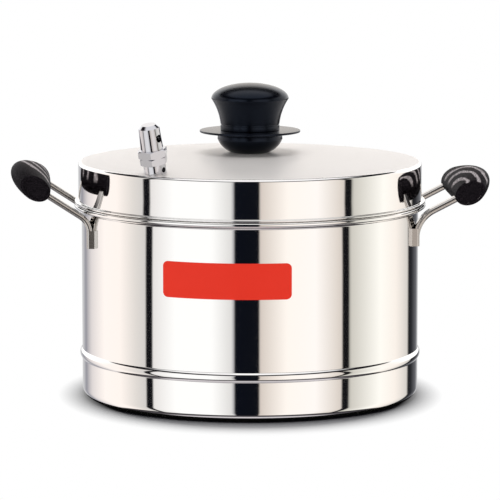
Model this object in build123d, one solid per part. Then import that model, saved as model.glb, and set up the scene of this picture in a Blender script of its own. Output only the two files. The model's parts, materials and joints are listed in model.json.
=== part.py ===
from build123d import *
import os
from math import cos, pi, radians, sin, sqrt, tan

# Idli steamer: a stainless steel pot with a deep lid, two oval grips on welded arms,
# a steam whistle on the lid and a lift-out rack of dished plates on a central rod.
# Millimetres, +Z up. The origin is the middle of the flat base, the grips lie along X.

# Fits that several pieces share
seat_gap = 0.3            # curved seats of pieces that come apart
running_gap = 0.3         # a bore around a shaft that turns or slides in it
pocket_gap = 0.15         # a moulded pocket around the tongue pushed into it
overrun = 2.0             # how far a cutting tool runs past what it cuts

# Pot
pot_radius = 120.0        # outside of the straight wall
pot_height = 138.7        # table to the top of the rolled rim
pot_sheet = 0.8
pot_corner_radius = 7.0
bead_height = 31.2        # middle of the pressed bead above the table
bead_half_height = 3.4
bead_reach = 1.6          # how far the bead stands out of the wall
bead_root_radius = 1.0    # where the bead meets the wall
rim_roll = 3.5            # thickness of the rolled rim
rim_roll_turn = 255.0     # degrees of roll
mouth_growth = 2.6        # how much wider than the wall the mouth is, on the radius
mouth_flare = 3.2         # height over which it widens
mouth_flare_radius = 2.0  # bend at the start of the flare

# Lid
lid_sheet = 0.7
lid_overhang = 2.3        # skirt outside past the pot's wall
lid_skirt_height = 26.0   # folded flange to the lid's edge
lid_shoulder_radius = 3.0
lid_flange_reach = 2.7    # folded flange past the skirt
nose_round_share = 0.9    # rounding of the flange's fold, as a share of the sheet
lid_lip_depth = 8.0       # locating lip below the flange
lid_lip_gap = 0.6         # between the lip and the inside of the pot
dome_rise = 7.5
dome_flat_radius = 28.0   # level middle that the knob stands on

# Knob and its collar, disc and fasteners
knob_screw_radius = 2.5
knob_screw_head_radius = 4.6
knob_screw_head_height = 3.4
knob_screw_grip = 9.0     # thread length inside the insert
pan_round_share = 0.5     # rounding of a pan head, as a share of its height
washer_radius = 7.5
washer_thickness = 1.0
collar_foot_radius = 12.8
collar_radius = 23.1
collar_top_radius = 22.3
collar_height = 14.5
collar_round_share = 0.66 # height of the bowl's bulge, as a share of the collar's height
disc_radius = 35.8
disc_thickness = 1.5
disc_round_share = 0.33   # rounding of its edge, as a share of its thickness
knob_foot_radius = 21.0
knob_foot_height = 3.8    # straight part below the groove
knob_groove_depth = 0.6
knob_groove_width = 0.8
knob_side_height = 18.6   # groove to the widest edge
knob_side_hollow = 1.2    # how far the side bows in
knob_radius = 27.5
knob_cap_rise = 11.0
knob_edge_radius = 0.8
insert_radius = 4.5
insert_length = 12.0

# Steam whistle
vent_inset = 11.3         # lid's skirt to the middle of the vent
vent_azimuth = 230.9      # degrees from +X
vent_lean = 13.0          # degrees outwards
vent_stem_radius = 7.65
vent_stem_height = 8.1
vent_hex_across = 17.4    # across the flats of the stem's hexagon
vent_hex_height = 5.0
whistle_hex_across = 18.6 # across the flats of the head's hexagon
whistle_hex_height = 5.5
hex_slope_share = 0.5     # drop of a hexagon's chamfer, as a share of its width
vent_spigot_radius = 4.0
vent_bore_radius = 1.6
vent_port_radius = 1.9
vent_port_height = 3.9    # dome to the middle of the port in the stem
vent_nipple_radius = 4.6
vent_nipple_height = 9.0
whistle_radius = 7.8
whistle_top_radius = 7.1
whistle_height = 17.3
whistle_chamfer = 2.1
whistle_wall = 2.2
whistle_port_radius = 2.7
whistle_port_drop_share = 0.55
gasket_radius = 8.0
gasket_thickness = 1.6
vent_nut_across = 13.0    # across the flats
vent_nut_height = 4.0
spigot_past_nut = 1.0

# Grips and their arms
arm_inset = 8.0           # end of the grip to the middle of an arm
arm_width = 9.0
arm_thickness = 4.2
arm_edge_radius = 1.8
foot_width = 11.0
foot_height = 12.5
foot_cover = 2.0          # least steel over the wall
foot_drop = 27.7          # rim down to the lower end of the foot
left_arm_rise = 33.0      # degrees
left_bend_radius = 11.0
left_bend_drop = 16.3     # rim down to where the bend starts
right_arm_rise = 27.0
right_bend_radius = 19.5
right_bend_drop = 22.2
grip_stand_off = 32.6     # pot wall to the middle of the grip's ends
grip_length = 92.0
grip_half_width = 15.5    # of the oval barrel, along the arms
grip_half_height = 10.0
grip_end_half_width = 11.0
grip_end_half_height = 8.2
grip_bow = 4.1            # how far its middle stands further out than its ends
grip_end_round = 1.2
grip_end_recess = 0.8
grip_end_rim = 1.8
tongue_past_axis = 5.5
grip_screw_radius = 2.0
grip_screw_head_radius = 3.6
grip_screw_head_height = 2.2
grip_screw_wall = 3.3     # moulding between the tongue and the screw's head
grip_screw_bite = 4.2     # thread past the tongue

# Rack
plate_count = 3
cups_per_plate = 4
plate_sheet = 0.8
plate_edge_gap = 14.0     # between the plate's edge and the pot's inside
plate_rim_width = 9.7     # flat rim outside the cups
plate_lip = 3.0           # turned-down edge
cup_gap = 7.0             # flat web between two cups
cup_depth = 13.5
cup_hole_radius = 1.6
cup_hole_ring = 15.0
cup_holes = 4
steam_hole_radius = 6.0
rod_radius = 4.0
rod_head_radius = 7.0
rod_head_height = 2.0
spacer_radius = 7.0
stand_height = 24.0       # pot floor to the underside of the stand's hub
stand_sheet = 1.5
stand_hub_radius = 16.0
stand_leg_count = 3
stand_leg_width = 12.0
stand_leg_reach = 66.0    # rod to the foot's bend
stand_leg_splay = 6.0
stand_foot_length = 12.0
stand_bend_radius = 4.0
stand_cup_gap = 3.5       # between the stand and the cups over it
lid_headroom = 16.0       # between the rack's top and the screw under the lid
rack_nut_height = 30.0
rack_nut_flange_radius = 9.0
rack_nut_flange_height = 3.0
rack_nut_neck_radius = 5.8
rack_nut_knob_radius = 10.5
rack_nut_knob_height = 9.0
rack_nut_thread_depth = 14.0
rack_nut_round = 3.0      # rounding of the nut's knob
rack_nut_root = 2.3       # rounding where its neck meets the flange

# Pot, worked out
pot_inner_radius = pot_radius - pot_sheet
pot_floor = pot_sheet
mouth_radius = pot_inner_radius + mouth_growth
roll_radius = rim_roll / 2
roll_x = mouth_radius + roll_radius
roll_z = pot_height - roll_radius

# Lid, worked out
lid_radius = pot_radius + lid_overhang
lid_flange_bottom = pot_height + seat_gap
lid_flange_top = lid_flange_bottom + 2 * lid_sheet
lid_edge = lid_flange_top + lid_skirt_height
dome_top = lid_edge + dome_rise
dome_reach = lid_radius - dome_flat_radius
dome_radius = (dome_reach**2 + dome_rise**2) / (2 * dome_rise)
dome_underside = dome_top - lid_sheet
lid_lip_radius = pot_inner_radius - lid_lip_gap
vent_reach = lid_radius - vent_inset

# Knob stack, worked out
disc_bottom = dome_top + collar_height
knob_bottom = disc_bottom + disc_thickness
washer_bottom = dome_underside - washer_thickness
knob_screw_bottom = washer_bottom - knob_screw_head_height

# Rack stack, worked out
plate_radius = pot_inner_radius - plate_edge_gap
cup_share = sin(pi / cups_per_plate)
cup_radius = (2 * cup_share * (plate_radius - plate_rim_width) - cup_gap) / (2 + 2 * cup_share)
cup_ring = plate_radius - plate_rim_width - cup_radius
cup_sphere = (cup_radius**2 + cup_depth**2) / (2 * cup_depth)
hub_bottom = pot_floor + stand_height
hub_top = hub_bottom + stand_sheet
first_plate = hub_top + stand_cup_gap + cup_depth
last_plate = knob_screw_bottom - lid_headroom - rack_nut_height - plate_sheet
plate_pitch = (last_plate - first_plate) / (plate_count - 1)
rack_nut_bottom = last_plate + plate_sheet
rod_top = rack_nut_bottom + rack_nut_thread_depth - running_gap


def turned(outline):
    """Solid of revolution about Z from a closed outline of (radius, height)."""
    return revolve(Plane.XZ * outline, Axis.Z)


def polygon(*points):
    return make_face(Polyline(*points, close=True))


def rounded(face, point, radius):
    """The face with its corner nearest to point rounded."""
    corner = face.vertices().sort_by_distance((*point, 0))[0]
    return fillet(corner, radius)


def ring(outer, inner, bottom, top):
    return turned(polygon((inner, bottom), (outer, bottom), (outer, top), (inner, top)))


def post(radius, bottom, top):
    return turned(polygon((0, bottom), (radius, bottom), (radius, top), (0, top)))


# Pot body: one sheet, with a rounded base corner, a pressed bead, a flared mouth and a rolled rim
def vessel(inset, bottom, top):
    """What the pot's wall encloses, inset from its outside."""
    wall = pot_radius - inset
    flare_top = roll_z - roll_radius
    bead = ThreePointArc(
        (wall, bead_height - bead_half_height),
        (wall + bead_reach, bead_height),
        (wall, bead_height + bead_half_height),
    )
    below = Polyline((0, bottom), (wall, bottom), bead @ 0)
    above = Polyline(
        bead @ 1,
        (wall, flare_top - mouth_flare),
        (wall + mouth_growth, flare_top),
        (wall + mouth_growth, top),
        (0, top),
        (0, bottom),
    )
    face = rounded(make_face(below + bead + above), (wall, bottom), pot_corner_radius - inset)
    for root in (bead @ 0, bead @ 1):
        face = rounded(face, (root.X, root.Y), bead_root_radius)
    return turned(rounded(face, (wall, flare_top - mouth_flare), mouth_flare_radius))


def rolled_rim():
    inner = roll_radius - pot_sheet
    centre = (roll_x, roll_z)
    outside = CenterArc(centre, roll_radius, 180, -rim_roll_turn)
    inside = CenterArc(centre, inner, 180, -rim_roll_turn)
    ends = Line(outside @ 0, inside @ 0) + Line(outside @ 1, inside @ 1)
    return turned(make_face(outside + inside + ends))


def pot_body():
    shell = vessel(0, 0, roll_z) - vessel(pot_sheet, pot_floor, roll_z)
    return shell + rolled_rim()


# Lid shell: one sheet, with a shallow dome, a rounded shoulder, a straight skirt,
# a flange folded double and a lip that drops into the pot's mouth
def bell(inset, bottom):
    """What the lid encloses above bottom, inset from its outside."""
    wall = lid_radius - inset
    sphere = dome_radius - inset
    dome_centre = dome_top - dome_radius

    def dome(x):
        return dome_centre + sqrt(sphere**2 - (x - dome_flat_radius) ** 2)

    middle = (wall + dome_flat_radius) / 2
    crown = ThreePointArc((wall, dome(wall)), (middle, dome(middle)), (dome_flat_radius, dome(dome_flat_radius)))
    sides = Polyline(crown @ 1, (0, dome_top - inset), (0, bottom), (wall, bottom), crown @ 0)
    return turned(rounded(make_face(crown + sides), crown @ 0, lid_shoulder_radius - inset))


def lid_flange():
    lip_inside = lid_lip_radius - lid_sheet
    fold = lid_flange_bottom + lid_sheet
    nose = lid_radius + lid_flange_reach
    face = polygon(
        (lip_inside, lid_flange_bottom - lid_lip_depth),
        (lid_lip_radius, lid_flange_bottom - lid_lip_depth),
        (lid_lip_radius, lid_flange_bottom),
        (nose, lid_flange_bottom),
        (nose, lid_flange_top),
        (lid_radius - lid_sheet, lid_flange_top),
        (lid_radius - lid_sheet, fold),
        (lip_inside, fold),
    )
    for height in (lid_flange_bottom, lid_flange_top):
        face = rounded(face, (nose, height), lid_sheet * nose_round_share)
    return turned(face)


# The vent leans outwards from where its axis meets the dome
vent_angle = radians(vent_azimuth)
vent_foot_z = dome_top - dome_radius + sqrt(dome_radius**2 - (vent_reach - dome_flat_radius) ** 2)
vent_frame = Plane(
    origin=(vent_reach * cos(vent_angle), vent_reach * sin(vent_angle), vent_foot_z),
    x_dir=(-sin(vent_angle), cos(vent_angle), 0),
    z_dir=(
        sin(radians(vent_lean)) * cos(vent_angle),
        sin(radians(vent_lean)) * sin(vent_angle),
        cos(radians(vent_lean)),
    ),
)
vent_sink = vent_hex_across * tan(radians(vent_lean)) / 2  # what the dome may trim off a leaning foot


def lid_shell():
    shell = bell(0, lid_flange_top) - bell(lid_sheet, lid_flange_top)
    knob_hole = post(knob_screw_radius, dome_underside - overrun, dome_top + overrun)
    vent_hole = vent_frame * post(vent_spigot_radius, -lid_sheet - overrun, overrun)
    return shell + lid_flange() - knob_hole - vent_hole


# Knob stack, from the lid up: bowl-shaped collar, thin disc, mushroom knob with a brass insert
def knob_collar():
    bulge = collar_height * collar_round_share
    lower = EllipticalCenterArc(
        (collar_foot_radius, dome_top + bulge),
        collar_radius - collar_foot_radius,
        bulge,
        start_angle=-90,
        arc_size=90,
    )
    upper = TangentArc(lower @ 1, (collar_top_radius, disc_bottom), tangent=(0, 1))
    base = Polyline(
        upper @ 1, (knob_screw_radius, disc_bottom), (knob_screw_radius, dome_top), lower @ 0
    )
    return turned(make_face(lower + upper + base))


def knob_disc():
    face = polygon(
        (knob_screw_radius, disc_bottom),
        (disc_radius, disc_bottom),
        (disc_radius, knob_bottom),
        (knob_screw_radius, knob_bottom),
    )
    for height in (disc_bottom, knob_bottom):
        face = rounded(face, (disc_radius, height), disc_thickness * disc_round_share)
    return turned(face)


def knob():
    groove = knob_bottom + knob_foot_height
    waist = groove + knob_groove_width
    edge = groove + knob_side_height
    top = edge + knob_cap_rise
    side_middle = (
        (knob_foot_radius + knob_radius) / 2 - knob_side_hollow,
        (waist + edge) / 2,
    )
    side = ThreePointArc((knob_foot_radius, waist), side_middle, (knob_radius, edge))
    quarter = [(knob_radius * cos(a), edge + knob_cap_rise * sin(a)) for a in (0, pi / 8, pi / 4, 3 * pi / 8)]
    cap = Spline(*quarter, (0, top), tangents=((0, 1), (-1, 0)))
    foot = Polyline(
        (0, top),
        (0, knob_bottom + insert_length),
        (insert_radius, knob_bottom + insert_length),
        (insert_radius, knob_bottom),
        (knob_foot_radius, knob_bottom),
        (knob_foot_radius, groove),
        (knob_foot_radius - knob_groove_depth, groove),
        (knob_foot_radius - knob_groove_depth, waist),
        side @ 0,
    )
    return turned(rounded(make_face(side + cap + foot), side @ 1, knob_edge_radius))


def knob_insert():
    blind = knob_bottom + knob_screw_grip
    sleeve = ring(insert_radius, knob_screw_radius, knob_bottom, knob_bottom + insert_length)
    return sleeve + post(insert_radius, blind, knob_bottom + insert_length)


def pan_screw(shank, head, head_height, length):
    """Screw whose head sits below Z = 0 and whose shank rises from there."""
    face = polygon(
        (0, -head_height), (head, -head_height), (head, 0), (shank, 0), (shank, length), (0, length)
    )
    return turned(rounded(face, (head, -head_height), head_height * pan_round_share))


def knob_screw():
    length = knob_bottom + knob_screw_grip - washer_bottom
    screw = pan_screw(knob_screw_radius, knob_screw_head_radius, knob_screw_head_height, length)
    return Pos(0, 0, washer_bottom) * screw


def knob_washer():
    return ring(washer_radius, knob_screw_radius, washer_bottom, dome_underside)


# Steam whistle: a turned stem bolted through the lid, and a whistle head pushed on its nipple.
# Both have a hexagon for a spanner, turned to a cone at its top and bottom as a nut is.
def hexagon(across, bottom, height):
    blank = Pos(0, 0, bottom) * extrude(RegularPolygon(across / 2, 6, major_radius=False), height)
    corner = across / sqrt(3)
    inscribed = across / 2
    slope = (corner - inscribed) * hex_slope_share
    cone = polygon(
        (0, bottom),
        (inscribed, bottom),
        (corner, bottom + slope),
        (corner, bottom + height - slope),
        (inscribed, bottom + height),
        (0, bottom + height),
    )
    return blank & turned(cone)


gasket_top = -lid_sheet                       # along the vent's axis, before the dome trims it
gasket_bottom = gasket_top - gasket_thickness
vent_nut_bottom = gasket_bottom - vent_nut_height
head_bottom = vent_stem_height + vent_hex_height


def vent_stem():
    body = post(vent_stem_radius, -vent_sink, vent_stem_height)
    body += hexagon(vent_hex_across, vent_stem_height, vent_hex_height)
    body += post(vent_nipple_radius, head_bottom, head_bottom + vent_nipple_height)
    body = vent_frame * body - bell(0, lid_flange_top)
    spigot = post(vent_spigot_radius, vent_nut_bottom - spigot_past_nut, overrun)
    bore = post(vent_bore_radius, vent_nut_bottom - spigot_past_nut, head_bottom + vent_nipple_height)
    port = Pos(0, 0, vent_port_height) * Rot(0, 90, 0) * Cylinder(
        vent_port_radius, vent_stem_radius + overrun, align=(Align.CENTER, Align.CENTER, Align.MIN)
    )
    return body + vent_frame * spigot - vent_frame * bore - vent_frame * port


def vent_gasket():
    washer = ring(gasket_radius, vent_spigot_radius, gasket_bottom, gasket_top + vent_sink)
    return (vent_frame * washer) & bell(lid_sheet, lid_flange_bottom)


def vent_nut():
    blank = extrude(RegularPolygon(vent_nut_across / 2, 6, major_radius=False), vent_nut_height)
    hole = post(vent_spigot_radius, -overrun, vent_nut_height + overrun)
    return vent_frame * Pos(0, 0, vent_nut_bottom) * (blank - hole)


def whistle_head():
    shoulder = head_bottom + whistle_hex_height
    top = shoulder + whistle_height
    cone = polygon((0, shoulder), (whistle_radius, shoulder), (whistle_top_radius, top), (0, top))
    corner = cone.vertices().sort_by_distance((whistle_top_radius, top, 0))[0]
    body = turned(chamfer(corner, whistle_chamfer))
    body += hexagon(whistle_hex_across, head_bottom, whistle_hex_height)
    body += post(vent_nipple_radius, head_bottom, shoulder)
    socket = post(vent_nipple_radius + running_gap, head_bottom, top - whistle_wall)
    port = Pos(0, 0, top - whistle_height * whistle_port_drop_share) * Rot(0, 90, 0) * Cylinder(
        whistle_port_radius, whistle_radius + overrun, align=(Align.CENTER, Align.CENTER, Align.MIN)
    )
    return vent_frame * (body - socket - port)


# Handles: on each side two formed strips welded to the wall, and an oval grip screwed on their ends,
# which swells in the middle and bows outwards
arm_spacing = grip_length - 2 * arm_inset
arm_inner_y = (arm_spacing - arm_width) / 2
arm_outer_y = (arm_spacing + foot_width) / 2
foot_face = sqrt(pot_radius**2 - arm_inner_y**2) + foot_cover
arm_x = foot_face - arm_thickness / 2
foot_bottom = pot_height - foot_drop
grip_x = pot_radius + grip_stand_off


class Handle:
    """Places of one handle, from how its arms climb. side is -1 at the left and 1 at the right."""

    def __init__(self, side, rise, bend_radius, bend_drop):
        self.side = side
        self.rise = radians(rise)
        self.bend = bend_radius + arm_thickness / 2
        turn = pi / 2 - self.rise
        self.corner_z = pot_height - bend_drop + self.bend * tan(turn / 2)
        self.grip_z = self.corner_z + (grip_x - arm_x) * tan(self.rise)
        self.frame = Plane(
            origin=(side * grip_x, 0, self.grip_z),
            x_dir=(side * cos(self.rise), 0, sin(self.rise)),
            z_dir=(-side * sin(self.rise), 0, cos(self.rise)),
        )

    def arm(self, y):
        tip_x = grip_x + tongue_past_axis * cos(self.rise)
        tip_z = self.grip_z + tongue_past_axis * sin(self.rise)
        path = FilletPolyline(
            (self.side * arm_x, y, foot_bottom),
            (self.side * arm_x, y, self.corner_z),
            (self.side * tip_x, y, tip_z),
            radius=self.bend,
        )
        section = Plane(origin=path @ 0, x_dir=(0, 1, 0), z_dir=(0, 0, 1)) * RectangleRounded(
            arm_width, arm_thickness, arm_edge_radius
        )
        strip = sweep(section, path)
        foot_depth = foot_face - sqrt(pot_radius**2 - arm_outer_y**2) + arm_edge_radius
        pad = Pos(self.side * (foot_face - foot_depth / 2), y, foot_bottom) * extrude(
            RectangleRounded(foot_depth, foot_width, arm_edge_radius), foot_height
        )
        wall = post(pot_radius, foot_bottom - overrun, roll_z - rim_roll)
        screw_hole = self.frame * Pos(0, self.side * y, 0) * post(
            grip_screw_radius, -arm_thickness, arm_thickness
        )
        return strip + pad - wall - screw_hole

    def grip(self):
        def across(place):
            """Plane across the barrel, place running from -1 to 1 along it."""
            origin = (grip_bow * (1 - place**2), place * grip_length / 2, 0)
            return Plane(origin=origin, x_dir=(1, 0, 0), z_dir=(0, 1, 0))

        def oval(place):
            swell = 1 - place**2
            half_width = grip_end_half_width + (grip_half_width - grip_end_half_width) * swell
            half_height = grip_end_half_height + (grip_half_height - grip_end_half_height) * swell
            return across(place) * Ellipse(half_width, half_height)

        body = loft([oval(place) for place in (-1, -0.5, 0, 0.5, 1)])
        caps = body.faces().sort_by(Axis.Y)
        body = fillet(caps[0].edges() + caps[-1].edges(), grip_end_round)
        recess = Ellipse(grip_end_half_width - grip_end_rim, grip_end_half_height - grip_end_rim)
        for end in (-1, 1):
            body -= extrude(across(end) * recess, grip_end_recess, both=True)
        pocket_length = tongue_past_axis + pocket_gap
        pocket = Box(
            pocket_length + grip_half_width + overrun,
            arm_width + 2 * pocket_gap,
            arm_thickness + 2 * pocket_gap,
            align=(Align.MAX, Align.CENTER, Align.CENTER),
        )
        head_seat = -(arm_thickness / 2 + grip_screw_wall)
        counterbore = post(grip_screw_head_radius + pocket_gap, head_seat - grip_half_height, head_seat)
        thread = post(grip_screw_radius, head_seat - overrun, arm_thickness / 2 + grip_screw_bite)
        for y in (-arm_spacing / 2, arm_spacing / 2):
            body -= Pos(pocket_length, y, 0) * pocket
            body -= Pos(0, y, 0) * (counterbore + thread)
        return self.frame * body

    def grip_screws(self):
        head_seat = -(arm_thickness / 2 + grip_screw_wall)
        length = arm_thickness + grip_screw_wall + grip_screw_bite
        screw = pan_screw(grip_screw_radius, grip_screw_head_radius, grip_screw_head_height, length)
        places = [(0, -arm_spacing / 2, head_seat), (0, arm_spacing / 2, head_seat)]
        return [self.frame * Pos(*place) * screw for place in places]


# Rack: a three-legged stand, a rod with spacers, the dished plates and a lifting nut
def polar(count, first=0.0):
    """Angles of count places round the rod, in degrees."""
    return [first + 360 * place / count for place in range(count)]


def rack_stand():
    hub = ring(stand_hub_radius, rod_radius, hub_bottom, hub_top)
    middle = stand_sheet / 2
    leg_path = FilletPolyline(
        (rod_radius + stand_sheet, hub_bottom + middle),
        (stand_leg_reach - stand_leg_splay, hub_bottom + middle),
        (stand_leg_reach, pot_floor + middle),
        (stand_leg_reach + stand_foot_length, pot_floor + middle),
        radius=stand_bend_radius,
    )
    section = Plane(origin=(Plane.XZ * leg_path) @ 0, x_dir=(0, 1, 0), z_dir=(1, 0, 0))
    leg = sweep(section * Rectangle(stand_leg_width, stand_sheet), Plane.XZ * leg_path)
    for angle in polar(stand_leg_count, first=90.0):
        hub += Rot(0, 0, angle) * leg
    return hub - post(rod_radius, hub_bottom - overrun, hub_top + overrun)


def rack_rod():
    return post(rod_head_radius, hub_bottom - rod_head_height, hub_bottom) + post(
        rod_radius, hub_bottom, rod_top
    )


def plate_height(place):
    """Underside of a plate's sheet, counted from 0 at the bottom."""
    return first_plate + place * plate_pitch


def idli_plate(place):
    bottom = plate_height(place)
    top = bottom + plate_sheet
    turn = 180 / cups_per_plate * (place % 2)
    plate = post(plate_radius, bottom, top)
    plate += ring(plate_radius, plate_radius - plate_sheet, bottom - plate_lip, top)
    centre = cup_sphere - cup_depth

    def bowl(radius):
        """Part of a sphere below the plate's top, as a solid."""
        edge = sqrt(radius**2 - centre**2)
        low = centre - radius
        side = edge / 2
        arc = ThreePointArc((0, low), (side, centre - sqrt(radius**2 - side**2)), (edge, 0))
        return turned(make_face(arc + Polyline(arc @ 1, (0, 0), arc @ 0)))

    dish, hollow = bowl(cup_sphere + plate_sheet), bowl(cup_sphere)
    drill = post(cup_hole_radius, -cup_depth - overrun - plate_sheet, 0)
    hollow += drill
    for angle in polar(cup_holes, first=180 / cup_holes):
        hollow += Rot(0, 0, angle) * Pos(cup_hole_ring, 0, 0) * drill
    cups = [Rot(0, 0, angle) * Pos(cup_ring, 0, top) for angle in polar(cups_per_plate, turn)]
    plate += [cup * dish for cup in cups]
    plate -= [cup * hollow for cup in cups]
    steam_hole = post(steam_hole_radius, bottom - overrun, top + overrun)
    webs = polar(cups_per_plate, turn + 180 / cups_per_plate)
    steam_ring = plate_radius - plate_rim_width - steam_hole_radius
    plate -= [Rot(0, 0, angle) * Pos(steam_ring, 0, 0) * steam_hole for angle in webs]
    return plate - post(rod_radius + running_gap, bottom - overrun, top + overrun)


def rack_spacer(place):
    """Sleeve on the rod below a plate."""
    bottom = plate_height(place - 1) + plate_sheet if place else hub_top
    return ring(spacer_radius, rod_radius, bottom, plate_height(place))


def rack_nut():
    bottom = rack_nut_bottom
    top = bottom + rack_nut_height
    knob_base = top - rack_nut_knob_height
    bore = rod_radius + running_gap
    face = polygon(
        (bore, bottom),
        (rack_nut_flange_radius, bottom),
        (rack_nut_flange_radius, bottom + rack_nut_flange_height),
        (rack_nut_neck_radius, bottom + rack_nut_flange_height),
        (rack_nut_neck_radius, knob_base),
        (rack_nut_knob_radius, knob_base),
        (rack_nut_knob_radius, top),
        (0, top),
        (0, bottom + rack_nut_thread_depth),
        (bore, bottom + rack_nut_thread_depth),
    )
    for height in (knob_base, top):
        face = rounded(face, (rack_nut_knob_radius, height), rack_nut_round)
    face = rounded(face, (rack_nut_neck_radius, bottom + rack_nut_flange_height), rack_nut_root)
    return turned(face)


left = Handle(-1, left_arm_rise, left_bend_radius, left_bend_drop)
right = Handle(1, right_arm_rise, right_bend_radius, right_bend_drop)

nodes = {
    "pot_body": pot_body(),
    "lid_shell": lid_shell(),
    "knob_collar": knob_collar(),
    "knob_disc": knob_disc(),
    "knob": knob(),
    "knob_insert": knob_insert(),
    "knob_screw": knob_screw(),
    "knob_washer": knob_washer(),
    "vent_stem": vent_stem(),
    "vent_gasket": vent_gasket(),
    "vent_nut": vent_nut(),
    "whistle_head": whistle_head(),
    "rack_stand": rack_stand(),
    "rack_rod": rack_rod(),
    "rack_nut": rack_nut(),
}
for name, handle in {"left": left, "right": right}.items():
    nodes[f"{name}_front_arm"] = handle.arm(-arm_spacing / 2)
    nodes[f"{name}_back_arm"] = handle.arm(arm_spacing / 2)
    nodes[f"{name}_grip"] = handle.grip()
    nodes[f"{name}_grip_screws"] = Compound(children=handle.grip_screws())
for place in range(plate_count):
    nodes[f"idli_plate_{place + 1}"] = idli_plate(place)
    nodes[f"rack_spacer_{place + 1}"] = rack_spacer(place)

os.makedirs("parts", exist_ok=True)
for name, shape in nodes.items():
    export_step(shape, f"parts/{name}.step")
print(f"{len(nodes)} pieces, plates {plate_pitch:.1f} apart, cups {2 * cup_radius:.1f} across")
print(f"grips at {left.grip_z:.1f} and {right.grip_z:.1f}, lid top {dome_top:.1f}")
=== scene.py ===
# %% [markdown]
# # Dressing an idli steamer
# An idli steamer is a stainless steel pot with a deep lid. Batter steams inside it in dished plates on
# a central rod. The solids come finished from CAD, so this lesson makes only their looks: smooth metal
# skins, the moulded grips, the finishes and the studio that polished steel reflects.

# %% Load the frame
import json
from math import acos, atan2, cos, degrees, pi, radians, sin, sqrt, tan, tau

import bpy
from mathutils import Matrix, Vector


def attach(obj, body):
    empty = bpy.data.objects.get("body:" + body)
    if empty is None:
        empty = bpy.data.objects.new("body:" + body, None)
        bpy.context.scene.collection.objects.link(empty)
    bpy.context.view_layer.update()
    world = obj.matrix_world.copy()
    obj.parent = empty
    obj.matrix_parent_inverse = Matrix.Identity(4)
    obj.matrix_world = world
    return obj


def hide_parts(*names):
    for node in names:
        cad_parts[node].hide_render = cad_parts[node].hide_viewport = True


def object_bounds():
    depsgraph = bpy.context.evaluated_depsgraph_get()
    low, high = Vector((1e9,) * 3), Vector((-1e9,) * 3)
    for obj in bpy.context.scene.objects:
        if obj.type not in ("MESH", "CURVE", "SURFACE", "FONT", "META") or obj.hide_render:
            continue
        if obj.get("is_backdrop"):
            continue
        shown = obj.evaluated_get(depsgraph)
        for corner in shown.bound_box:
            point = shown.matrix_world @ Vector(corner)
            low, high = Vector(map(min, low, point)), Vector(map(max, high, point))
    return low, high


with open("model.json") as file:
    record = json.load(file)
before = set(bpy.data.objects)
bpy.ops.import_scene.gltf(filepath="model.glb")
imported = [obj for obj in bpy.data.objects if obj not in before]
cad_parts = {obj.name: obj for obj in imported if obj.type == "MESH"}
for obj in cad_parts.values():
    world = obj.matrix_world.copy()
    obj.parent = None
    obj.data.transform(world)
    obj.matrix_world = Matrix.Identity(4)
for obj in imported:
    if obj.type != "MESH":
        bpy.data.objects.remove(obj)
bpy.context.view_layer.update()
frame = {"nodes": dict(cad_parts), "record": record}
mm = 0.001

# %% [markdown]
# ## The camera
# The rims of the pot show how the picture was taken. Their ellipses are about a sixth as high as they
# are wide, so the camera looked down by about eight degrees, and they open only a little more towards
# the base, so it stood far away with a long lens. The distance, height and turn are named here, and the
# camera is then aimed at a point on the pot's axis, so that a change of one doesn't lose the pot.

# %% Camera
camera_turn = radians(-3.4)      # from straight in front, towards the left grip
camera_reach = 2500 * mm         # along the table, from the pot's axis
camera_height = 442 * mm
aim_height = 103.5 * mm
lens_length = 254.0              # millimetres, on a sensor 36 mm wide

bpy.ops.object.camera_add()
camera = bpy.context.active_object
camera.location = (camera_reach * sin(camera_turn), -camera_reach * cos(camera_turn), camera_height)
sight = Vector((0, 0, aim_height)) - camera.location
camera.rotation_euler = sight.to_track_quat("-Z", "Y").to_euler()
camera.data.lens = lens_length
bpy.context.scene.camera = camera
bpy.context.scene.view_settings.view_transform = "Standard"
print("camera looks down by", round(degrees(atan2(-sight.z, sight.xy.length)), 1), "degrees")

# %% [markdown]
# ## Colours and nodes
# Colours are written as on a screen, in hex, and shaders work in linear light, so one function turns
# one into the other. A second function adds a shader node with its settings and its links, which keeps
# a material with twenty nodes down to twenty lines.

# %% Helpers for materials
def linear(code):
    """Linear red, green, blue and alpha from a hex colour such as #c0c0c0."""
    shares = [int(code[place : place + 2], 16) / 255 for place in (1, 3, 5)]
    return [s / 12.92 if s <= 0.04045 else ((s + 0.055) / 1.055) ** 2.4 for s in shares] + [1.0]


def add(tree, kind, inputs={}, links={}, stops=(), **settings):
    """Adds a node. inputs are socket values, and links are pairs of a node and its output's name.
    stops are for a colour ramp: pairs of a place from 0 to 1, in rising order, and a hex colour."""
    node = tree.nodes.new(kind)
    for name, value in settings.items():
        setattr(node, name, value)
    for name, value in inputs.items():
        node.inputs[name].default_value = value
    for name, (source, output) in links.items():
        tree.links.new(source.outputs[output], node.inputs[name])
    if stops:
        elements = node.color_ramp.elements
        while len(elements) < len(stops):
            elements.new(1.0)
        for element, (spot, _) in zip(elements, stops):
            element.position = spot
        for element, (_, code) in zip(elements, stops):
            element.color = linear(code)
    return node


print("the screen's middle grey is", round(linear("#808080")[0], 2), "in linear light")

# %% [markdown]
# ## The studio
# Polished steel has no colour of its own to show: it shows the room. This pot stood between four tall
# white panels with dark gaps between them, and the gaps are the stripes on its wall. Real boards could
# be built round it, but every view would then show them. So the world draws the panels by direction,
# for glossy rays only. One colour ramp runs round the compass for the panels, and a second from the
# floor to the ceiling for what lies past their ends. Behind the pot, a white backdrop lights the dome.

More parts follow.
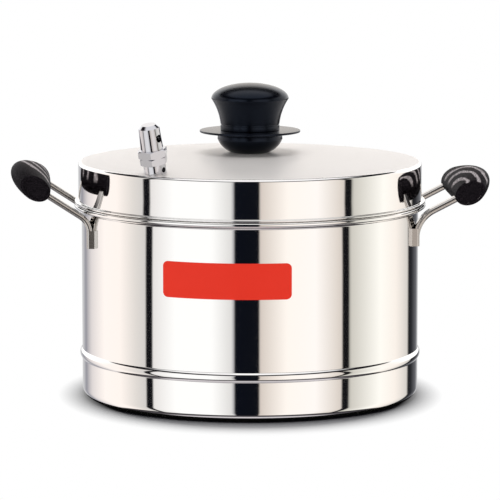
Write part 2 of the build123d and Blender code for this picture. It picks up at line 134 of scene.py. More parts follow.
# %% Colours of the studio
panel_stops = [  # degrees from the camera's direction, as metal on the pot reflects them
    (-180, "#b9b9ba"),
    (-166, "#c9c9cb"),
    (-153, "#91919a"),
    (-139, "#dcd6d6"),
    (-118, "#fff7f3"),
    (-100, "#fff6f1"),
    (-84, "#dfdad6"),
    (-75.7, "#d2cfcd"),
    (-74.7, "#121216"),
    (-70, "#121216"),
    (-69, "#e6e3e2"),
    (-52, "#ffffff"),
    (-26, "#ffffff"),
    (-13, "#dfdedd"),
    (-11.4, "#d8d7da"),
    (-10.9, "#0b0e17"),
    (6.1, "#0e1016"),
    (6.8, "#d4cac2"),
    (25, "#fff8f2"),
    (45, "#fffaf7"),
    (63, "#dcd3cb"),
    (65, "#d4ccc6"),
    (66, "#141417"),
    (70.8, "#141417"),
    (72, "#cbc8c0"),
    (100, "#fffdf7"),
    (118, "#f9f1ea"),
    (136.5, "#d3cfca"),
    (139.5, "#1c1d20"),
    (146, "#2a2b2f"),
    (160, "#67686d"),
    (170, "#c4c4c6"),
]
backdrop_stops = [  # the same, above the horizon, where the dome looks
    (-180, "#f6f0ea"),
    (-165, "#ffffff"),
    (-130, "#ffffff"),
    (-60, "#f2f0ee"),
    (0, "#c9c9cc"),
    (60, "#f2f0ee"),
    (130, "#ffffff"),
    (165, "#ffffff"),
    (180, "#f6f0ea"),
]
rise_stops = [  # degrees above the horizon, all the way round
    (-90, "#9c989c"),
    (-62, "#d9d4d8"),
    (-56, "#5a565a"),
    (-42, "#2a282c"),
    (29, "#201e22"),
    (48, "#201e22"),
    (56, "#fbfafc"),
    (90, "#ffffff"),
]
panel_low, panel_high, panel_edge = -38, 30, 3  # degrees above the horizon
horizon, horizon_edge = -1.5, 1                 # degrees, where the backdrop starts
backdrop_start, backdrop_full = 110, 135        # degrees from the camera's direction
backdrop_gain, studio_gain = 1.2, 1.1           # how much brighter than white paper they shine


def as_places(stops, span, middle=0.5):
    """Turns stops in degrees into places on a ramp that spans so many degrees."""
    return [(middle + angle / span, code) for angle, code in stops]


print("panels:", len(panel_stops), "stops round the compass,", len(rise_stops), "from floor to ceiling")

# %% The direction of a ray
world = bpy.data.worlds.new("white_studio")
bpy.context.scene.world = world
world.use_nodes = True
tree = world.node_tree
tree.nodes.clear()
way = add(tree, "ShaderNodeTexCoord")
parts = add(tree, "ShaderNodeSeparateXYZ", links={"Vector": (way, "Generated")})
toward = add(tree, "ShaderNodeMath", {1: -1.0}, {0: (parts, "Y")}, operation="MULTIPLY")
turned = add(tree, "ShaderNodeMath", links={0: (parts, "X"), 1: (toward, 0)}, operation="ARCTAN2")
lap = add(tree, "ShaderNodeMath", {1: 1 / tau, 2: 0.5 - camera_turn / tau}, {0: (turned, 0)},
          operation="MULTIPLY_ADD")
share = add(tree, "ShaderNodeMath", links={0: (lap, 0)}, operation="FRACT")  # 0.5 at the camera
rise = add(tree, "ShaderNodeMath", links={0: (parts, "Z")}, operation="ARCSINE")
level = add(tree, "ShaderNodeMath", {1: 1 / pi, 2: 0.5}, {0: (rise, 0)}, operation="MULTIPLY_ADD")
print("the studio is turned by", round(degrees(camera_turn), 1), "degrees, as the camera is")

# %% Panels and backdrop
panels = add(tree, "ShaderNodeValToRGB", links={0: (share, 0)}, stops=as_places(panel_stops, 360))
beyond = add(tree, "ShaderNodeValToRGB", links={0: (level, 0)}, stops=as_places(rise_stops, 180))
band = add(tree, "ShaderNodeValToRGB", links={0: (level, 0)}, stops=as_places([
    (panel_low - panel_edge, "#000000"),
    (panel_low, "#ffffff"),
    (panel_high, "#ffffff"),
    (panel_high + panel_edge, "#000000"),
], 180))
white_paper = add(tree, "ShaderNodeValToRGB", links={0: (share, 0)}, stops=as_places(backdrop_stops, 360))
backdrop = add(tree, "ShaderNodeVectorMath", {1: (backdrop_gain,) * 3}, {0: (white_paper, 0)},
               operation="MULTIPLY")
off_centre = add(tree, "ShaderNodeMath", {1: 0.5}, {0: (share, 0)}, operation="SUBTRACT")
away = add(tree, "ShaderNodeMath", links={0: (off_centre, 0)}, operation="ABSOLUTE")
behind = add(tree, "ShaderNodeValToRGB", links={0: (away, 0)}, stops=as_places([
    (backdrop_start, "#000000"),
    (backdrop_full, "#ffffff"),
], 360, 0.0))
above = add(tree, "ShaderNodeValToRGB", links={0: (level, 0)}, stops=as_places([
    (horizon - horizon_edge, "#000000"),
    (horizon + horizon_edge, "#ffffff"),
], 180))
high_back = add(tree, "ShaderNodeMath", links={0: (above, 0), 1: (behind, 0)}, operation="MULTIPLY")
around = add(tree, "ShaderNodeMix", links={"Factor": (high_back, 0), "A": (panels, 0), "B": (backdrop, 0)},
             data_type="RGBA")
studio = add(tree, "ShaderNodeMix", links={"Factor": (band, 0), "A": (beyond, 0), "B": (around, "Result")},
             data_type="RGBA")
print("the panels stand from", panel_low, "to", panel_high, "degrees")

# %% [markdown]
# Matt things need no panels, only an even light. The knob and the grips were lit by boxes at their
# sides and hardly from above, so the world's grey is strongest low down and falls off towards the top.
# The camera itself sees plain white, as of a white paper background.

# %% What each ray sees
side_light, top_light = 1.4, 0.15
side_light_end, top_light_start = 20, 45    # degrees above the horizon
rays = add(tree, "ShaderNodeLightPath")
shown = add(tree, "ShaderNodeVectorMath", {1: (studio_gain,) * 3}, {0: (studio, "Result")},
            operation="MULTIPLY")
sides = add(tree, "ShaderNodeMapRange", {
    "From Min": 0.5 + side_light_end / 180, "From Max": 0.5 + top_light_start / 180,
    "To Min": side_light, "To Max": top_light,
}, {"Value": (level, 0)})
lit = add(tree, "ShaderNodeMix", data_type="RGBA", links={
    "Factor": (rays, "Is Glossy Ray"), "A": (sides, 0), "B": (shown, 0),
})
seen = add(tree, "ShaderNodeMix", {"B": linear("#ffffff")},
           {"Factor": (rays, "Is Camera Ray"), "A": (lit, "Result")}, data_type="RGBA")
glow = add(tree, "ShaderNodeBackground", links={"Color": (seen, "Result")})
add(tree, "ShaderNodeOutputWorld", links={"Surface": (glow, "Background")})
print("world nodes:", len(tree.nodes))

# %% [markdown]
# One sun as wide as a large soft box adds the shadow. It leans a little towards the back, so its light
# falls forwards and the shadow lies in front of the pot. Glossy rays don't see it, so that the panels
# alone show in the metal.

# %% Sun
sun_lean, sun_width = radians(-6), radians(50)
bpy.ops.object.light_add(type="SUN")
sun = bpy.context.active_object
sun.rotation_euler = (sun_lean, 0, 0)
sun.data.energy = 1.75
sun.data.angle = sun_width
sun.visible_glossy = False
print("sun strength", sun.data.energy)

# %% [markdown]
# ## The floor
# The object stands on white paper. Camera and matt rays see that paper with the pot's shadow on it.
# Glossy rays pass through it outside the pot, so that the walls show the studio down to the ground.
# Under the pot they see it painted near black, a painted shadow that the pot's round corner reflects.
# A soft sun leaves the narrow gap under the pot's round corner too pale, so shade is painted there: the
# Ambient Occlusion node darkens the paper's colour near the pot. Farther out than an ellipse round the
# pot, the camera sees it plain white.

# %% Floor
base_edge = 119.5 * mm                      # the paper under the pot, which glossy rays meet painted near black
crease_reach = 60 * mm                      # how far the crease's shade looks for the pot
painted_crease_shade_stops = [(0.45, "#1c1c20"), (0.6, "#808084"), (0.8, "#c8c8ca"), (1.0, "#ffffff")]
shadow_full, shadow_end = 136 * mm, 168 * mm    # half depths of the ellipses where the shadow fades
shadow_squeeze = 1.22                       # how much deeper than wide they are

bpy.ops.object.select_all(action="DESELECT")
bpy.ops.mesh.primitive_plane_add(size=8)
floor = bpy.context.active_object
floor.name = "white_floor"
paper = bpy.data.materials.new("white_paper")
paper.use_nodes = True
tree = paper.node_tree
tree.nodes.clear()
place = add(tree, "ShaderNodeTexCoord")
rays = add(tree, "ShaderNodeLightPath")
print("floor", floor.dimensions[0], "m wide")

# %% Paper and its shadow
open_sky = add(tree, "ShaderNodeAmbientOcclusion", {"Distance": crease_reach})
# painted shade: the paper's colour darkens where the pot hides its sky
painted_crease_shade = add(tree, "ShaderNodeValToRGB", links={0: (open_sky, "AO")}, stops=painted_crease_shade_stops)
# for glossy rays the paper is painted near black: a painted shadow under the pot
paper_painted_shade = add(tree, "ShaderNodeMix", {"B": linear("#1a1a1a")},
            {"Factor": (rays, "Is Glossy Ray"), "A": (painted_crease_shade, 0)}, data_type="RGBA")
matt = add(tree, "ShaderNodeBsdfDiffuse", links={"Color": (paper_painted_shade, "Result")})
plain = add(tree, "ShaderNodeEmission")
squeezed = add(tree, "ShaderNodeVectorMath", {1: (shadow_squeeze, 1, 1)}, {0: (place, "Object")},
               operation="MULTIPLY")
wide = add(tree, "ShaderNodeVectorMath", links={0: (squeezed, 0)}, operation="LENGTH")
fade = add(tree, "ShaderNodeMapRange", {"From Min": shadow_full, "From Max": shadow_end},
           {"Value": (wide, "Value")})
camera_fade = add(tree, "ShaderNodeMath", links={0: (fade, 0), 1: (rays, "Is Camera Ray")},
                  operation="MULTIPLY")
near = add(tree, "ShaderNodeMixShader", links={0: (camera_fade, 0), 1: (matt, 0), 2: (plain, 0)})
print("the shadow ends", round(shadow_end / mm), "mm in front of the pot's axis")

# %% Clear for glossy rays outside the pot
reach = add(tree, "ShaderNodeVectorMath", links={0: (place, "Object")}, operation="LENGTH")
outside = add(tree, "ShaderNodeMath", {1: base_edge}, {0: (reach, "Value")}, operation="GREATER_THAN")
through = add(tree, "ShaderNodeMath", links={0: (outside, 0), 1: (rays, "Is Glossy Ray")},
              operation="MULTIPLY")
clear = add(tree, "ShaderNodeBsdfTransparent")
both = add(tree, "ShaderNodeMixShader", links={0: (through, 0), 1: (near, 0), 2: (clear, 0)})
add(tree, "ShaderNodeOutputMaterial", links={"Surface": (both, 0)})
floor.data.materials.append(paper)
floor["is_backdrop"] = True
print("paper nodes:", len(tree.nodes))

# %% [markdown]
# ## Turned pieces
# The pot, the lid and the knob are round: the sheet is drawn and spun over a form, the knob is moulded.
# Cylinders could be added and joined, but their seams would show on a polished skin. So half an outline
# is drawn from point to point and spun once round the Z axis. Its corners are rounded as it is drawn,
# because a rounded corner is what shows as a line of light on polished steel.

# %% Points of an outline, in mm
def arc(middle, radius, start, end, steps=10):
    """Points (x, z) on a circle, from one angle to another. 0 degrees is outwards and 90 is up."""
    angles = [radians(start + (end - start) * n / steps) for n in range(steps + 1)]
    return [(middle[0] + radius * cos(a), middle[1] + radius * sin(a)) for a in angles]


def bow(start, end, rise, steps=24):
    """Points on the arc from start to end that stands out by rise to the right of the way."""
    start, end = Vector(start), Vector(end)
    along = (end - start).normalized()
    aside = Vector((along.y, -along.x))
    half = 2 * atan2(2 * rise, (end - start).length)
    radius = (end - start).length / (2 * sin(half))
    middle = (start + end) / 2 + aside * (rise - radius)
    angles = [half * (2 * n / steps - 1) for n in range(steps + 1)]
    return [tuple(middle + radius * (cos(a) * aside + sin(a) * along)) for a in angles]


def rounded(corners, steps=8):
    """The corners as points, where a corner (x, z, radius) becomes an arc."""
    points = []
    for place, corner in enumerate(corners):
        here = Vector(corner[:2])
        if len(corner) == 2:
            points.append(tuple(here))
            continue
        back = (Vector(corners[place - 1][:2]) - here).normalized()
        on = (Vector(corners[place + 1][:2]) - here).normalized()
        half = back.angle(on) / 2
        reach = corner[2] / tan(half)
        rise = corner[2] * (1 - sin(half))
        turn = back.x * on.y - back.y * on.x
        points += bow(here + back * reach, here + on * reach, rise if turn < 0 else -rise, steps)
    return points


print("a quarter circle has", len(arc((0, 0), 1, 0, 90)), "points")

# %% Drawing and spinning
def draw(name, points):
    """A chain of edges through points (x, z), as one vertex extruded from point to point."""
    bpy.ops.object.select_all(action="DESELECT")
    bpy.ops.mesh.primitive_plane_add(size=mm)
    piece = bpy.context.active_object
    piece.name = piece.data.name = name
    spots = [Vector((x, 0, z)) * mm for x, z in points]
    bpy.ops.object.mode_set(mode="EDIT")
    bpy.ops.mesh.merge(type="CENTER")
    bpy.ops.transform.translate(value=spots[0])
    for here, there in zip(spots, spots[1:]):
        bpy.ops.mesh.extrude_vertices_move(TRANSFORM_OT_translate={"value": there - here})
    bpy.ops.object.mode_set(mode="OBJECT")
    return piece


def spin(piece, steps=256, smooth=35):
    """Spins an outline once round the Z axis into a closed skin, and prints what it made."""
    bpy.ops.object.mode_set(mode="EDIT")
    bpy.ops.mesh.select_all(action="SELECT")
    bpy.ops.mesh.spin(steps=steps, angle=tau, center=(0, 0, 0), axis=(0, 0, 1))
    bpy.ops.mesh.select_all(action="SELECT")
    bpy.ops.mesh.remove_doubles(threshold=0.002 * mm)
    bpy.ops.mesh.normals_make_consistent(inside=False)
    bpy.ops.mesh.select_all(action="DESELECT")
    bpy.ops.mesh.select_non_manifold()
    bpy.ops.object.mode_set(mode="OBJECT")
    bpy.ops.object.shade_smooth_by_angle(angle=radians(smooth))
    open_points = sum(v.select for v in piece.data.vertices)
    print(piece.name, len(piece.data.polygons), "faces,", open_points, "open points")
    return piece


# %% [markdown]
# ## The pot
# One sheet of stainless steel 0.8 mm thick: a flat base, a corner of 7 mm, a pressed bead 31 mm up that
# stiffens the wall, and a mouth that flares and ends in a rolled rim. A Solidify modifier could thicken
# a single skin, but the rim rolls the sheet round on itself, so both skins are drawn, one inset from
# the other. The bead's roots are rounded, and they give the dark lines beside its bright middle.

# %% Pot
wall, sheet, corner = 120.0, 0.8, 7.0
bead_at, bead_half, bead_out, bead_root = 31.2, 3.4, 1.6, 1.0
wall_middle = 100.0
flare_start, flare_round, mouth_out, mouth = 133.7, 1.2, 2.6, 135.2
roll_middle, roll_thick, roll_end = (123.55, 136.95), 3.5, -75     # its end in degrees


def pot_side(inset):
    """The pot's skin from the middle of the base up to the mouth, inset from its outside."""
    x = wall - inset
    bead_radius = (bead_half**2 + bead_out**2) / (2 * bead_out)
    bead_middle = x + bead_out - bead_radius
    lean = acos((x + bead_root - bead_middle) / (bead_radius + bead_root))
    root_rise = (bead_radius + bead_root) * sin(lean)
    lean = degrees(lean)
    return (
        [(0, inset)]
        + arc((wall - corner, corner), corner - inset, -90, 0, 14)
        + arc((x + bead_root, bead_at - root_rise), bead_root, 180, 180 - lean)
        + arc((bead_middle, bead_at), bead_radius, -lean, lean, 16)
        + arc((x + bead_root, bead_at + root_rise), bead_root, 180 + lean, 180)
        + rounded([(x, wall_middle), (x, flare_start, flare_round), (x + mouth_out, mouth)])
    )


roll = roll_thick / 2
roll_inside = arc(roll_middle, roll - sheet, 180, roll_end, 20)
roll_outside = arc(roll_middle, roll, roll_end, 180, 30)
pot_shell = spin(draw("pot_shell", pot_side(0) + roll_inside + roll_outside + pot_side(sheet)[::-1]))
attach(pot_shell, "pot")
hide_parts("pot_body")

# %% [markdown]
# ## The lid
# The lid is a second sheet, 0.7 mm thick: a dome that rises only 6.3 mm, a tight shoulder, a straight
# skirt 26 mm high and a flange folded double that rests on the pot's rolled rim. A lip below it drops
# into the pot's mouth and keeps the lid in the middle. It is drawn and spun as the pot is, and the dome
# is one arc of a very large circle that meets the shoulder without a crease.

# %% Lid
dome_flat, dome_top, dome_rise, skirt, lid_sheet, shoulder = 28.0, 173.9, 6.3, 122.3, 0.7, 2.4
flange_edge, flange_low, flange_high = 125.0, 139.0, 140.4
lip_out, lip_in, lip_end = 118.6, 117.9, 131.0
fold_low, skirt_inside, skirt_middle = 139.7, 121.6, 150.0
dome_radius = ((skirt - dome_flat) ** 2 + dome_rise**2) / (2 * dome_rise)


def lid_side(inset):
    """The lid's skin from the middle of the dome out to the skirt, inset from its outside."""
    reach = skirt - shoulder - dome_flat
    lean = degrees(acos(reach / (dome_radius - shoulder)))
    level = dome_top - dome_radius + sqrt((dome_radius - shoulder) ** 2 - reach**2)
    return (
        [(0, dome_top - inset)]
        + arc((dome_flat, dome_top - dome_radius), dome_radius - inset, 90, lean, 32)
        + arc((skirt - shoulder, level), shoulder - inset, lean, 0, 12)
    )


flange = rounded([
    (skirt, skirt_middle), (skirt, flange_high, 0.4),
    (flange_edge, flange_high, 0.6), (flange_edge, flange_low, 0.6),
    (lip_out, flange_low, 0.4), (lip_out, lip_end), (lip_in, lip_end), (lip_in, fold_low, 1.1),
    (skirt_inside, fold_low, 0.2), (skirt_inside, skirt_middle),
])
lid_skin = spin(draw("lid_skin", lid_side(0) + flange + lid_side(lid_sheet)[::-1]))
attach(lid_skin, "lid")
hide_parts("lid_shell")

# %% [markdown]
# ## The knob
# Three bakelite pieces stand on the lid: a bowl-shaped collar, a thin disc that keeps fingers off the
# hot lid, and a mushroom knob whose side bows in. Each has its own outline, so that each is a piece of
# its own with a real seam between them. The groove round the knob's foot is a step of its mould.

# %% Outlines of the collar, the disc and the knob
bore, collar_top, disc_radius = 2.5, 188.4, 35.8
bowl_foot, bowl_brim, bowl_rise = (12.8, dome_top), (23.1, 183.47), 1.6
knob_foot, foot_radius, groove_radius, groove_low, groove_high = 189.9, 21.0, 20.4, 193.7, 194.5
knob_brim, brim_at, cap_rise, side_rise = 27.5, 212.3, 11.0, -1.13
insert_radius, insert_top = 4.5, 201.9

bowl = bow(bowl_foot, bowl_brim, bowl_rise)
bulge = arc((7.51, bowl_brim[1]), 15.59, 0, 18.43)     # meets the collar's top, 188.4
collar = [(bore, dome_top)] + bowl[:-1] + bulge + [(bore, collar_top), (bore, dome_top)]
disc = rounded([
    (bore, collar_top), (disc_radius, collar_top, 0.5), (disc_radius, knob_foot, 0.5),
    (bore, knob_foot), (bore, collar_top),
])
side = bow((foot_radius, groove_high), (knob_brim, brim_at), side_rise)
cap = [(knob_brim * cos(radians(a)), brim_at + cap_rise * sin(radians(a))) for a in range(0, 91, 3)]
outline = [
    (0, insert_top), (insert_radius, insert_top), (insert_radius, knob_foot),
    (foot_radius, knob_foot, 0.5), (foot_radius, groove_low, 0.3), (groove_radius, groove_low),
    (groove_radius, groove_high),
] + side[:-1] + [(knob_brim, brim_at, 0.8)] + cap[1:]
print("the knob stands", round(brim_at + cap_rise - dome_top, 1), "mm over the dome")

# %% Collar, disc and knob
for name, points, node, finish in (
    ("bowl_collar", collar, "knob_collar", "black_bakelite"),
    ("finger_disc", disc, "knob_disc", "black_bakelite"),
    ("mushroom_knob", rounded(outline), "knob", "black_bakelite"),
):
    piece = spin(draw(name, points), 128)
    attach(piece, "lid")
    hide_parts(node)

# %% [markdown]
# ## The sticker
# A red vinyl sticker, the same all over, lies on the front of the wall. A piece could be cut out of the
# wall's own faces, but they are too narrow for its round corners. So a flat plane gets round corners
# and is cut into strips that can bend, a Shrinkwrap modifier lays it on the wall, and a Solidify
# modifier gives the film its thickness.

# %% Flat sticker
sticker_size, sticker_middle, sticker_corner = (89.0, 25.0), 97.8, 3.5
sticker_turn = radians(-11.4)           # from straight in front, towards the left grip
sticker_start, strip = 130.0, 2         # where the plane waits in front of the wall, and a strip's width
bpy.ops.object.select_all(action="DESELECT")
bpy.ops.mesh.primitive_plane_add(
    size=1, location=(0, -sticker_start * mm, sticker_middle * mm), rotation=(pi / 2, 0, 0))
sticker = bpy.context.active_object
sticker.name = sticker.data.name = "blank_sticker"
sticker.scale = (sticker_size[0] * mm, sticker_size[1] * mm, 1)
bpy.ops.object.transform_apply(location=True, rotation=True, scale=True)
bpy.ops.object.mode_set(mode="EDIT")
bpy.ops.mesh.select_all(action="SELECT")
bpy.ops.mesh.bevel(offset=sticker_corner * mm, segments=8, affect="VERTICES")
for x in range(-42, 43, strip):
    bpy.ops.mesh.select_all(action="SELECT")
    bpy.ops.mesh.bisect(plane_co=(x * mm, 0, 0), plane_no=(1, 0, 0))
bpy.ops.object.mode_set(mode="OBJECT")
print("flat sticker:", len(sticker.data.polygons), "faces")

# %% Sticker on the wall
wrap = sticker.modifiers.new("on the wall", "SHRINKWRAP")
wrap.target = pot_shell
wrap.wrap_method = "PROJECT"
wrap.use_project_y = True
wrap.use_positive_direction = True
wrap.offset = 0.05 * mm
bpy.ops.object.modifier_apply(modifier=wrap.name)
vinyl = sticker.modifiers.new("vinyl", "SOLIDIFY")
vinyl.thickness = 0.15 * mm
vinyl.offset = 1
bpy.ops.object.modifier_apply(modifier=vinyl.name)
bpy.ops.transform.rotate(value=-sticker_turn, orient_axis="Z", center_override=(0, 0, 0))
bpy.ops.object.transform_apply(location=True, rotation=True, scale=True)
bpy.ops.object.shade_smooth_by_angle(angle=radians(30))
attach(sticker, "pot")
print("sticker", [round(v / mm, 1) for v in sticker.dimensions])

# %% [markdown]
# ## Steels
# All the sheet is stainless steel with a clear grey mirror. What tells the pieces apart is how rough
# the polishing wheel left them, and along which way its marks run. Real marks are about 0.05 mm apart.
# They are drawn a few times coarser, or the picture's dots couldn't show them.

# %% New material
def new_material(name):
    """An empty node material and its tree."""
    material = bpy.data.materials.new(name)
    material.use_nodes = True
    material.node_tree.nodes.clear()
    return material, material.node_tree


polished_sheet, tree = new_material("polished_stainless_sheet")
print("new material", polished_sheet.name)

# %% [markdown]
# The pot and the lid are buffed to a near mirror, in circles, so their marks run round the axis. One
# noise serves both the wall and the dome when it reads height less radius, because that changes up
# the wall and across the dome alike. The dome was left satin and has taken a dull film, so there it is
# rougher and half matt, and shows an even warm grey instead of the room.

# %% Polishing marks
wall_rough, dome_rough = 0.045, 0.45
dome_edge, wall_edge = 119.8 * mm, 120.8 * mm     # radii where the satin ends
dome_from = 160 * mm                              # height above which there is only the lid's top
marks_round, marks_across = 6, 2500               # a metre: 170 mm long and 0.4 mm apart
place = add(tree, "ShaderNodeTexCoord")
parts = add(tree, "ShaderNodeSeparateXYZ", links={"Vector": (place, "Object")})
level = add(tree, "ShaderNodeVectorMath", {1: (1, 1, 0)}, {0: (place, "Object")}, operation="MULTIPLY")
radius = add(tree, "ShaderNodeVectorMath", links={0: (level, 0)}, operation="LENGTH")
run = add(tree, "ShaderNodeMath", links={0: (parts, "Z"), 1: (radius, "Value")}, operation="SUBTRACT")
unrolled = add(tree, "ShaderNodeCombineXYZ", links={"X": (parts, "X"), "Y": (parts, "Y"), "Z": (run, 0)})
drawn_out = add(tree, "ShaderNodeVectorMath", {1: (marks_round, marks_round, marks_across)},
                {0: (unrolled, 0)}, operation="MULTIPLY")
marks = add(tree, "ShaderNodeTexNoise", {"Scale": 1.0, "Detail": 3.0}, {"Vector": (drawn_out, 0)})
bump = add(tree, "ShaderNodeBump", {"Strength": 0.02, "Distance": 0.05 * mm}, {"Height": (marks, 0)})
print("marks every", 1000 / marks_across, "mm")

# %% Mirror wall and satin dome
in_reach = add(tree, "ShaderNodeMapRange", {
    "From Min": dome_edge, "From Max": wall_edge, "To Min": 1.0, "To Max": 0.0,
}, {"Value": (radius, "Value")})
is_high = add(tree, "ShaderNodeMath", {1: dome_from}, {0: (parts, "Z")}, operation="GREATER_THAN")
dome = add(tree, "ShaderNodeMath", links={0: (in_reach, 0), 1: (is_high, 0)}, operation="MULTIPLY")
buffed = add(tree, "ShaderNodeMapRange", {"To Min": wall_rough, "To Max": dome_rough}, {"Value": (dome, 0)})
vary = add(tree, "ShaderNodeMath", {1: 0.5}, {0: (marks, 0)}, operation="ADD")
rough = add(tree, "ShaderNodeMath", links={0: (buffed, 0), 1: (vary, 0)}, operation="MULTIPLY")
# the dull film on the dome hides half of the bare metal
metal_share = add(tree, "ShaderNodeMapRange", {"To Min": 1.0, "To Max": 0.5}, {"Value": (dome, 0)})
tone = add(tree, "ShaderNodeMix", {"A": linear("#f6f5f3"), "B": linear("#f3efec")},
           {"Factor": (dome, 0)}, data_type="RGBA")
skin = add(tree, "ShaderNodeBsdfPrincipled", links={
    "Base Color": (tone, "Result"), "Metallic": (metal_share, 0),
    "Roughness": (rough, 0), "Normal": (bump, 0),
})
add(tree, "ShaderNodeOutputMaterial", links={"Surface": (skin, 0)})
print("polished sheet nodes:", len(tree.nodes))

# %% [markdown]
# The other metals share one build: noise drawn out into marks 50 mm long that run level round the
# piece, and vary its roughness between two values. The table gives each its own colour and finish.

# %% Other metals
steels = {}
for name, colour, low, high, spacing in (  # roughness from low to high, marks spaced in mm
    # strip polished before it was bent: clear, with long bright lines on its rounded edges
    ("polished_steel_strip", "#c2beba", 0.12, 0.2, 0.4),
    # bar turned bright on a lathe: sharp glints round the rod and the nut
    ("bright_turned_steel", "#dddddb", 0.12, 0.22, 0.3),
    # sheet pressed between dies and left satin: broad soft lights in the cups
    ("satin_pressed_steel", "#e0dfdc", 0.22, 0.34, 0.4),
    # screws plated with zinc: a dull, slightly blue grey
    ("zinc_plated_steel", "#cfd0d2", 0.2, 0.35, 0.5),
    # turned brass under bright chrome: a clear mirror, a little darker than steel
    ("chrome_plate", "#cfcfd3", 0.05, 0.09, 0.6),
    # bare turned brass: warm yellow glints
    ("turned_brass", "#d9bd7e", 0.15, 0.25, 0.3),
):
    steels[name], tree = new_material(name)
    place = add(tree, "ShaderNodeTexCoord")
    lines = add(tree, "ShaderNodeMapping", {"Scale": (20, 20, 1000 / spacing)},
                {"Vector": (place, "Object")})
    marks = add(tree, "ShaderNodeTexNoise", {"Scale": 1.0, "Detail": 3.0}, {"Vector": (lines, 0)})
    rough = add(tree, "ShaderNodeMapRange", {"To Min": low, "To Max": high}, {"Value": (marks, 0)})
    bump = add(tree, "ShaderNodeBump", {"Strength": 0.03, "Distance": 0.05 * mm}, {"Height": (marks, 0)})
    skin = add(tree, "ShaderNodeBsdfPrincipled", {"Base Color": linear(colour), "Metallic": 1.0},
               {"Roughness": (rough, 0), "Normal": (bump, 0)})
    add(tree, "ShaderNodeOutputMaterial", links={"Surface": (skin, 0)})
print(sorted(steels))

# %% [markdown]
# ## Bakelite, rubber and vinyl
# The knob is moulded from black phenolic, which comes out of a polished mould glossy. The gasket is
# moulded rubber and the sticker a vinyl film. None is quite even, so a fine grain varies how sharply
# each shines, at the size that the table gives in mm.

# %% Moulded finishes
moulded = {}
for name, colour, low, high, grain, gloss, sheen in (  # roughness from low to high
    # phenolic: a deep black, with cool soft lights where it turns to the panels
    ("black_bakelite", "#020307", 0.2, 0.26, 0.8, 0.3, "#c2d6fb"),
    # rubber: a dark grey that hardly shines
    ("black_rubber", "#1b1b1b", 0.55, 0.7, 0.4, 0.4, "#ffffff"),
    # vinyl film: one flat bright red with a faint shine
    ("red_vinyl", "#e2301d", 0.3, 0.38, 1.0, 0.15, "#ffffff"),
):
    moulded[name], tree = new_material(name)
    place = add(tree, "ShaderNodeTexCoord")
    spots = add(tree, "ShaderNodeTexNoise", {"Scale": 1000 / grain, "Detail": 2.0},
                {"Vector": (place, "Object")})
    rough = add(tree, "ShaderNodeMapRange", {"To Min": low, "To Max": high}, {"Value": (spots, 0)})
    bump = add(tree, "ShaderNodeBump", {"Strength": 0.02, "Distance": 0.1 * mm}, {"Height": (spots, 0)})
    skin = add(tree, "ShaderNodeBsdfPrincipled", {
        "Base Color": linear(colour), "Specular IOR Level": gloss, "Specular Tint": linear(sheen),
    }, {"Roughness": (rough, 0), "Normal": (bump, 0)})
    add(tree, "ShaderNodeOutputMaterial", links={"Surface": (skin, 0)})
print(sorted(moulded))

# %% [markdown]
# ## The grips' bakelite
# The grips are moulded from phenolic filled with fibres, worn matt by hands. Pale arcs curve over
# their tops: painted reflections of the studio's panels. A picture wrapped on the grip would stretch
# over its round ends, so the painted reflections are drawn in space. They are rings round a point at
# one end of the grip, next to the pot. Noise makes them wander, fibres break them up, and they show
# only where the skin faces up. The left grip is turned half round, so its Y is read the other way.

# %% Rings round a point of the grip
reflection_centre = (141 * mm, -46 * mm)      # out from the pot's axis, and along the grip
reflection_step = (10 * mm, 28 * mm)          # one step of the rings, outwards and along
wander_scale, wander_by = 90.0, 0.35    # lumps of about 11 mm, which shift a ring by a third of a step
moulded["grip_bakelite"], tree = new_material("grip_bakelite_painted_reflections")
place = add(tree, "ShaderNodeTexCoord")
parts = add(tree, "ShaderNodeSeparateXYZ", links={"Vector": (place, "Object")})
out = add(tree, "ShaderNodeMath", links={0: (parts, "X")}, operation="ABSOLUTE")
side_sign = add(tree, "ShaderNodeMath", links={0: (parts, "X")}, operation="SIGN")
along = add(tree, "ShaderNodeMath", links={0: (parts, "Y"), 1: (side_sign, 0)}, operation="MULTIPLY")
steps_out, steps_along = [
    add(tree, "ShaderNodeMapRange", {"From Min": start, "From Max": start + step}, {"Value": (way, 0)},
        clamp=False)
    for way, start, step in zip((out, along), reflection_centre, reflection_step)
]
plan = add(tree, "ShaderNodeCombineXYZ", links={"X": (steps_out, 0), "Y": (steps_along, 0)})
reach = add(tree, "ShaderNodeVectorMath", links={0: (plan, 0)}, operation="LENGTH")
wander = add(tree, "ShaderNodeTexNoise", {"Scale": wander_scale, "Detail": 3.0},
             {"Vector": (place, "Object")})
rings = add(tree, "ShaderNodeMath", {1: wander_by}, {0: (wander, 0), 2: (reach, "Value")},
            operation="MULTIPLY_ADD")
print("rings round", [round(v / mm) for v in reflection_centre], "mm")

# %% Painted reflections and fibres
reflection_places = ((1.15, 0.07), (1.95, 0.09), (2.7, 0.09))    # each painted reflection's middle and half its width, in steps
reflection_edge, last_step = 0.08, 4
reflection_stops = [(0.0, "#000000")]
for middle, half in reflection_places:
    reflection_stops += [
        (middle - half - reflection_edge, "#000000"), (middle - half, "#ffffff"),
        (middle + half, "#ffffff"), (middle + half + reflection_edge, "#000000"),
    ]
scaled = add(tree, "ShaderNodeMath", {1: 1 / last_step}, {0: (rings, 0)}, operation="MULTIPLY")
painted_reflections = add(tree, "ShaderNodeValToRGB", links={0: (scaled, 0)},
            stops=[(step / last_step, code) for step, code in reflection_stops])
facing = add(tree, "ShaderNodeSeparateXYZ", links={"Vector": (place, "Normal")})
# the painted reflections show only where the skin faces up
upper = add(tree, "ShaderNodeMapRange", {"From Min": 0.25, "From Max": 0.5}, {"Value": (facing, "Z")})
reflections_on_top = add(tree, "ShaderNodeMath", links={0: (painted_reflections, 0), 1: (upper, 0)}, operation="MULTIPLY")
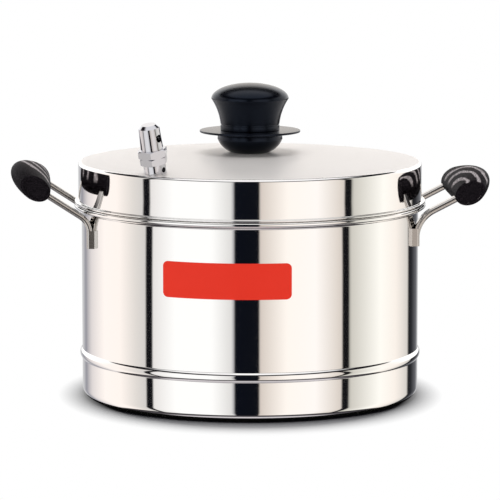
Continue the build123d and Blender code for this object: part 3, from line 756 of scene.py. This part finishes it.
# fibres 6 mm long and 0.7 mm thick, drawn coarser than real ones so that they show
grain = add(tree, "ShaderNodeMapping", {"Scale": (1500, 160, 1500)}, {"Vector": (place, "Object")})
fibres = add(tree, "ShaderNodeTexNoise", {"Scale": 1.0, "Detail": 4.0}, {"Vector": (grain, 0)})
broken = add(tree, "ShaderNodeMapRange", {"From Min": 0.4, "From Max": 0.6, "To Min": 0.45},
             {"Value": (fibres, 0)})
shown = add(tree, "ShaderNodeMath", links={0: (reflections_on_top, 0), 1: (broken, 0)}, operation="MULTIPLY")
print(len(reflection_places), "painted_reflections")

# %% Grip bakelite
ground = add(tree, "ShaderNodeValToRGB", links={0: (fibres, 0)},
             stops=[(0.35, "#070608"), (0.7, "#262226")])
# the painted reflections' pale colour, mixed over the dark ground of the grain
tone = add(tree, "ShaderNodeMix", {"B": linear("#b5adaf")}, {"Factor": (shown, 0), "A": (ground, 0)},
           data_type="RGBA")
bump = add(tree, "ShaderNodeBump", {"Strength": 0.15, "Distance": 0.2 * mm}, {"Height": (fibres, 0)})
skin = add(tree, "ShaderNodeBsdfPrincipled", {"Roughness": 0.42, "Specular IOR Level": 0.005},
           {"Base Color": (tone, "Result"), "Normal": (bump, 0)})
add(tree, "ShaderNodeOutputMaterial", links={"Surface": (skin, 0)})
print("grip bakelite nodes:", len(tree.nodes))

# %% [markdown]
# ## Finishes on the pieces
# Each slot of the record gets its finish, on the new pieces and on the CAD nodes that stay. One table
# from slot to finish keeps the two alike, so a piece and the solid it replaces can't differ.

# %% Dressing
finishes = {
    "polished_steel": polished_sheet,
    "arm_steel": steels["polished_steel_strip"],
    "rack_steel": steels["bright_turned_steel"],
    "plate_steel": steels["satin_pressed_steel"],
    "fastener_steel": steels["zinc_plated_steel"],
    "plated_brass": steels["chrome_plate"],
    "brass": steels["turned_brass"],
    "black_bakelite": moulded["black_bakelite"],
    "grip_bakelite": moulded["grip_bakelite"],
    "rubber": moulded["black_rubber"],
}
for subpart in frame["record"]["subparts"]:
    node = frame["nodes"][subpart["node"]]
    node.material_slots[0].material = finishes[subpart["material_slot"]]
for name, finish in (
    ("pot_shell", "polished_steel"),
    ("lid_skin", "polished_steel"),
    ("bowl_collar", "black_bakelite"),
    ("finger_disc", "black_bakelite"),
    ("mushroom_knob", "black_bakelite"),
):
    bpy.data.objects[name].data.materials.append(finishes[finish])
sticker.data.materials.append(moulded["red_vinyl"])
print(len(frame["nodes"]), "nodes dressed")

# %% [markdown]
# ## Size
# Dressing must not change how large the object is. The box of the dressed model is printed, to be
# read after each change.

# %% Size of the dressed model
low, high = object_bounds()
print("visual box in mm:", [round(v / mm, 1) for v in high - low])
